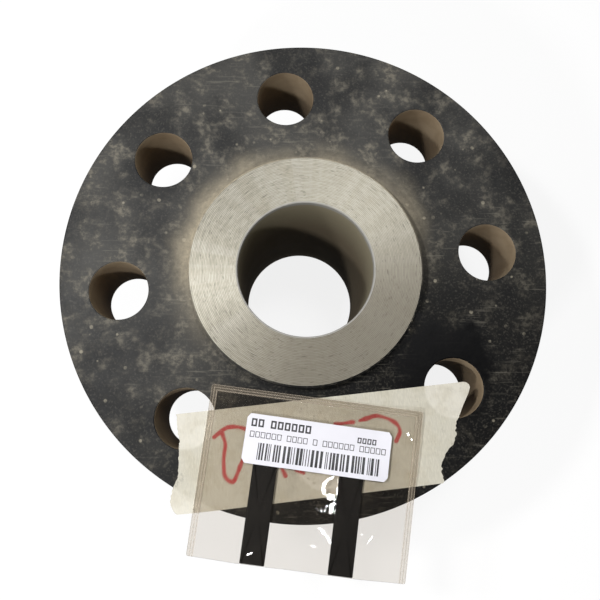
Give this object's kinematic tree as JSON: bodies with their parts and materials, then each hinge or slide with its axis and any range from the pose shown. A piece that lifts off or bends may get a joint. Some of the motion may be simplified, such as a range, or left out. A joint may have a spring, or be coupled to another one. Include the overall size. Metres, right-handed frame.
{
  "type": "weld neck flange",
  "caption": "Round steel pipe flange with a raised grooved face, bolt holes and a tapered neck that ends in a weld bevel, with a taped and labelled face.",
  "frame": {"origin": "on the bore axis, at the height of the centre of mass, 87.7 mm above the weld end and 36.0 mm below the raised face", "axes": "+Z along the bore axis, from the weld end towards the raised face; -Y towards the label pouch, which hangs past the rim there"},
  "size_m": [0.2667, 0.2955, 0.1237],
  "materials": {
    "coated_steel": "satin",
    "crepe_paper": "matte",
    "magnet": "satin",
    "vinyl": "gloss",
    "label_paper": "satin"
  },
  "bodies": {
    "flange": {"weld_neck_forging": "coated_steel", "masking_tape": "crepe_paper"},
    "pouch": {"magnet_strip_left": "magnet", "magnet_strip_right": "magnet", "pouch_back_film": "vinyl", "pouch_front_film": "vinyl", "part_label": "label_paper"}
  },
  "joints": [
    {"name": "pouch_lift", "type": "slide", "parent": "flange", "child": "pouch", "axis": [0, 0, 1], "range_m": [0, 0.06]}
  ]
}
